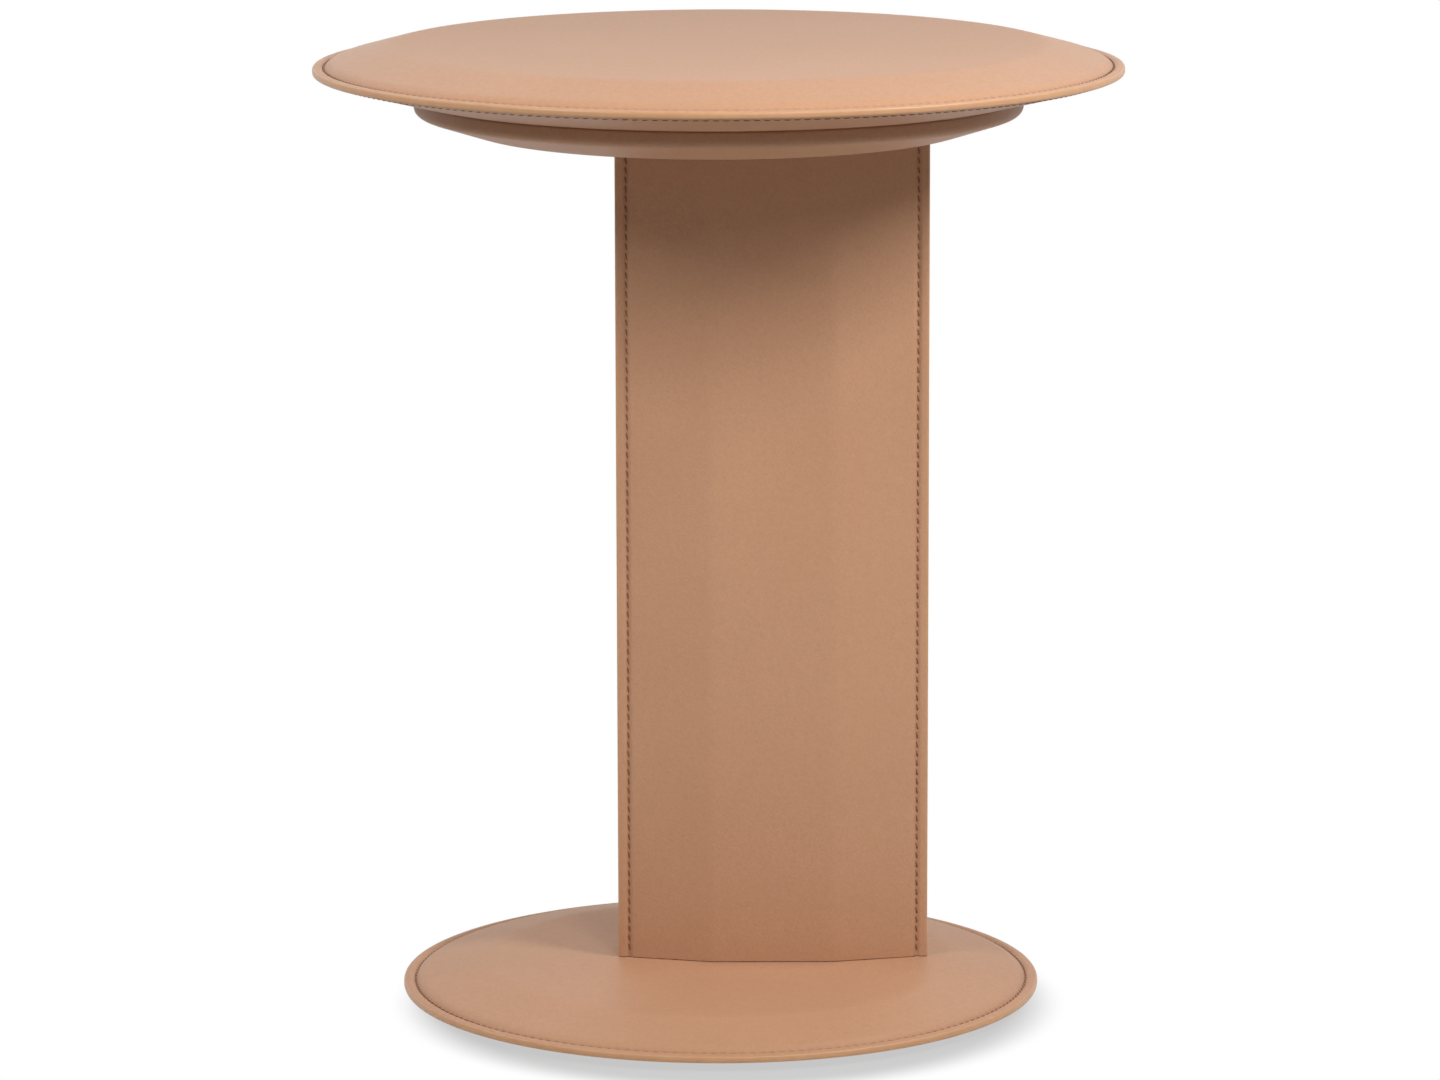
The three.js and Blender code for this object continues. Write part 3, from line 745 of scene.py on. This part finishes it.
# Top seam and rim edge, as on the base. One row lies in the groove above, and the other shows
# under the rim.
TOP_THREAD_SUNK, TOP_THREAD_SUNK_BELOW = 0.55 * mm, 0.25 * mm
TOP_RIM_THICK = 4 * mm
above = float(top_crown(np.array([TOP_SEAM]))[0]) - TOP_THREAD_SUNK
stitch_circle("top_seam_upper", TOP_SEAM, above, top_stitches, None)
below = under_low + UNDER_SLOPE * (TOP_SEAM - UNDER_BEND) + TOP_THREAD_SUNK_BELOW
stitch_circle("top_seam_lower", TOP_SEAM, below, top_stitches, UNDER_SLOPE, seen=4.2 * mm)
bead("top_rim_edge", TOP_RADIUS, TOP_RIM_TOP - TOP_RIM_THICK / 2, rim_angles)


# Bottom panel. A disc of hard black fibre sheet closes the base, over the hem of the leather.
# It is matt, with a woven press mark from the wire mesh that it was dried on.
fibre_sheet, tree, shader, place = bare_material("black_fibre_sheet")
# A wave repeats every tenth of pi times its scale's length, so 4 mm gives wires 1.26 mm apart.
wires = {"Vector": place, "Scale": 1 / (4 * mm), "Distortion": 0.4}
warp = node(tree, "TexWave", wires)
weft = node(tree, "TexWave", wires, bands_direction="Y")
mesh_mark = node(tree, "Math", {
    0: warp.outputs["Fac"], 1: weft.outputs["Fac"],
}, operation="MULTIPLY")
specks = node(tree, "TexNoise", {"Vector": place, "Scale": 1 / (1.2 * mm), "Detail": 4})
tone = node(tree, "Mix", {
    0: specks.outputs["Fac"], 6: linear("#26211d"), 7: linear("#3a332d"),
}, data_type="RGBA")
press_mark = node(tree, "Bump", {"Height": mesh_mark.outputs[0], "Distance": 0.12 * mm})
set_inputs(tree, shader, {
    "Base Color": tone.outputs[2], "Roughness": 0.82, "Normal": press_mark.outputs["Normal"],
})
dress(fibre_sheet, "bottom_panel")


# Panel screws. Five countersunk screws hold the panel up to the base's board, flush with it,
# each with a cross recess.
RECESS_DEEP = 1.1 * mm
RECESS_REACH = 1.9 * mm
RECESS_ARM_HALF = 0.5 * mm


def screw_points(x, y, low, high, angles):
    """Rings from the tip down the shank to the head's edge, then over the head's face to its
    middle. The face sinks where the smaller of |x| and |y| is under half an arm's width and
    the radius is within the recess's reach, both with a sloping wall."""
    face = np.append(np.linspace(2.4, 0.1, 16), 0) * mm
    radius = np.append(np.array([0, 1.5, 1.5, 2.7, 2.8, 2.7]) * mm, face)
    rise = np.array([high, high - 1 * mm, low + 1.3 * mm, low + 0.15 * mm, low + 0.08 * mm, low])
    points = turned(radius, np.append(rise, np.full(len(face), low)), angles).copy()
    on_face = points[-len(face):]
    from_arm = np.abs(on_face[..., :2]).min(-1)
    near_arm = np.clip((RECESS_ARM_HALF - from_arm) / (0.15 * mm), 0, 1)
    in_reach = np.clip((RECESS_REACH - face[:, None]) / (0.2 * mm), 0, 1)
    on_face[..., 2] += RECESS_DEEP * near_arm * in_reach
    return points + [x, y, 0]


PANEL_SCREWS = 5
angles = np.linspace(0, 2 * np.pi, 48, endpoint=False)
for i in range(1, PANEL_SCREWS + 1):
    low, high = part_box(f"panel_screw_{i}")
    middle = (low + high) / 2
    screw = surface(
        f"panel_screw_fine_{i}", screw_points(middle.x, middle.y, low.z, high.z, angles),
        zinc_plate,
    )
    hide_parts(f"panel_screw_{i}")


# Glides. Five round feet of black polyethylene, pressed up under the panel. Each has a rounded
# lower edge, a fine matt moulded face and a dimple where its pin was driven.
polyethylene, tree, shader, place = bare_material("black_polyethylene")
spark = node(tree, "TexNoise", {"Vector": place, "Scale": 1 / (0.6 * mm), "Detail": 2})
scuffs = node(tree, "TexNoise", {"Vector": place, "Scale": 1 / (6 * mm), "Detail": 5})
tone = node(tree, "Mix", {
    0: scuffs.outputs["Fac"], 6: linear("#151516"), 7: linear("#2b2b2c"),
}, data_type="RGBA")
moulded = node(tree, "Bump", {"Height": spark.outputs["Fac"], "Distance": 0.03 * mm})
set_inputs(tree, shader, {
    "Base Color": tone.outputs[2], "Roughness": 0.58, "Normal": moulded.outputs["Normal"],
})

GLIDES = 5
GLIDE_HIGH = 3 * mm
GLIDE_RADIUS = 12 * mm
DIMPLE_DEEP = 0.9 * mm
profile = bent([
    (0, GLIDE_HIGH, 0), (GLIDE_RADIUS, GLIDE_HIGH, 0.3 * mm), (GLIDE_RADIUS, 0, 0.9 * mm),
    (4 * mm, 0, 0.4 * mm), (3.2 * mm, DIMPLE_DEEP, 0.4 * mm), (0, DIMPLE_DEEP, 0),
])
for i in range(1, GLIDES + 1):
    low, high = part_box(f"glide_{i}")
    middle = (low + high) / 2
    glide = surface(
        f"glide_foot_{i}", turned(profile[:, 0], profile[:, 1], angles) + [middle.x, middle.y, 0],
        polyethylene,
    )
    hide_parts(f"glide_{i}")


# Room. A white paper floor. Under and in front of the base the camera sees it grey: a painted
# contact shadow, a grey that only the camera and reflections see, over the floor's own shadow.
# Further out it goes over into the white world. It bounces light as white paper, but little
# from beyond a metre or so.
SHADOW_MOVE = (-5 * mm, 30 * mm, 0)
SHADOW_SQUEEZE = (1.04, 1, 1)
SHADOW_FROM, SHADOW_TO = 183 * mm, 223 * mm
# The painted contact shadow is full inside the first radius and gone past the second.
PAINTED_SHADOW_FROM, PAINTED_SHADOW_TO = 200 * mm, 250 * mm
PAPER_FROM, PAPER_TO = 600 * mm, 1300 * mm
WHITE_AT_BASE = 0.56
ROOM_FILL = 0.03


def seen_rays(tree):
    """One for rays that the camera, a gloss or a clear material sends out, and else nought: the
    largest of Is Camera Ray, Is Glossy Ray and Is Transmission Ray."""
    rays = node(tree, "LightPath", {})
    seen = node(tree, "Math", {
        0: rays.outputs["Is Camera Ray"], 1: rays.outputs["Is Glossy Ray"],
    }, operation="MAXIMUM")
    return node(tree, "Math", {
        0: seen.outputs[0], 1: rays.outputs["Is Transmission Ray"],
    }, operation="MAXIMUM").outputs[0]


bpy.ops.mesh.primitive_plane_add(size=24)
floor = bpy.context.object
floor.name = "floor"
paper = bpy.data.materials.new("white_paper_floor")
paper.use_nodes = True
tree = paper.node_tree
tree.nodes.remove(tree.nodes["Principled BSDF"])
seen = seen_rays(tree)
place = node(tree, "TexCoord", {}).outputs["Object"]
shifted = node(tree, "Mapping", {
    "Vector": place, "Location": SHADOW_MOVE, "Scale": SHADOW_SQUEEZE,
})
near = node(tree, "VectorMath", {0: shifted.outputs["Vector"]}, operation="LENGTH")
fade = node(tree, "MapRange", {
    "Value": near.outputs["Value"],
    "From Min": SHADOW_FROM, "From Max": SHADOW_TO, "To Min": WHITE_AT_BASE,
}, interpolation_type="SMOOTHSTEP")
# Inside this ring the camera and reflections see the floor painted grey: a painted contact shadow.
ring = node(tree, "MapRange", {
    "Value": near.outputs["Value"], "From Min": PAINTED_SHADOW_FROM, "From Max": PAINTED_SHADOW_TO,
}, interpolation_type="SMOOTHSTEP")
far = node(tree, "VectorMath", {0: place}, operation="LENGTH")
sheet = node(tree, "MapRange", {
    "Value": far.outputs["Value"], "From Min": PAPER_FROM, "From Max": PAPER_TO,
}, interpolation_type="SMOOTHSTEP")
unseen = node(tree, "Math", {0: 1, 1: seen}, operation="SUBTRACT")
no_painted_shadow = node(tree, "Math", {
    0: ring.outputs["Result"], 1: unseen.outputs[0],
}, operation="MAXIMUM")
# Painted shadow: dark grey near the base for camera and glossy rays, white paper for bounced light.
painted_shadow_tone = node(tree, "Mix", {
    0: no_painted_shadow.outputs[0], 6: linear("#686868"), 7: linear("#f6f6f6"),
}, data_type="RGBA")
paper_tone = node(tree, "Mix", {
    0: sheet.outputs["Result"], 6: painted_shadow_tone.outputs[2], 7: linear("#5a5a5a"),
}, data_type="RGBA")
white = node(tree, "Math", {0: fade.outputs["Result"], 1: seen}, operation="MULTIPLY")
mixed = node(tree, "MixShader", {
    0: white.outputs[0],
    1: node(tree, "BsdfDiffuse", {"Color": paper_tone.outputs[2]}).outputs[0],
    2: node(tree, "Emission", {"Color": (1, 1, 1, 1), "Strength": 1}).outputs[0],
})
set_inputs(tree, tree.nodes["Material Output"], {"Surface": mixed.outputs[0]})
floor.data.materials.append(paper)

world = bpy.data.worlds.new("white_room")
bpy.context.scene.world = world
world.use_nodes = True
tree = world.node_tree
strength = node(tree, "MapRange", {"Value": seen_rays(tree), "To Min": ROOM_FILL, "To Max": 1})
set_inputs(tree, tree.nodes["Background"], {
    "Color": (1, 1, 1, 1), "Strength": strength.outputs["Result"],
})


# Lamps. Three soft boxes stand round the front, the strongest on the right, about 1.2 m from
# the table and well above its top. A weaker pair stands at the sides and another behind.
LAMPS_AIM = Vector((0.02, 0, 0.42))
for name, spot, size, power in (
    ("soft_box_right", (0.96, -0.63, 1.28), 0.4, 11.2),
    ("soft_box_front", (0.32, -1.18, 1.18), 0.4, 5.8),
    ("soft_box_left", (-0.84, -0.83, 1.23), 0.4, 7.3),
    ("soft_box_side_right", (1.3, 0.1, 1.3), 0.5, 2.5),
    ("soft_box_side_left", (-1.3, 0.1, 1.3), 0.5, 3.5),
    ("soft_box_back_right", (0.73, 1.22, 1.69), 1, 2.2),
    ("soft_box_back_left", (-0.69, 1.22, 1.69), 1, 2.6),
):
    lamp = bpy.data.lights.new(name, "AREA")
    lamp.shape, lamp.size, lamp.energy = "SQUARE", size, power
    box = bpy.data.objects.new(name, lamp)
    box.location = spot
    box.rotation_euler = (Vector(spot) - LAMPS_AIM).to_track_quat("Z", "Y").to_euler()
    bpy.context.scene.collection.objects.link(box)


# Camera. It stands 3.9 m in front, a metre above the floor, with a long lens, and looks down
# on the table by 11 degrees.
CAMERA_PLACE = (0.0002, -3.9435, 1.0312)
CAMERA_DOWN, CAMERA_ROLL = math.radians(10.663), math.radians(-0.13)
camera = bpy.data.objects.new("camera", bpy.data.cameras.new("camera"))
camera.data.lens = 160.65
camera.data.sensor_width = 36
camera.matrix_world = (
    Matrix.Translation(CAMERA_PLACE)
    @ Matrix.Rotation(math.pi / 2 - CAMERA_DOWN, 4, "X")
    @ Matrix.Rotation(CAMERA_ROLL, 4, "Z")
)
camera.data.clip_end = 100
bpy.context.scene.collection.objects.link(camera)
bpy.context.scene.camera = camera
bpy.context.scene.view_settings.view_transform = "Standard"
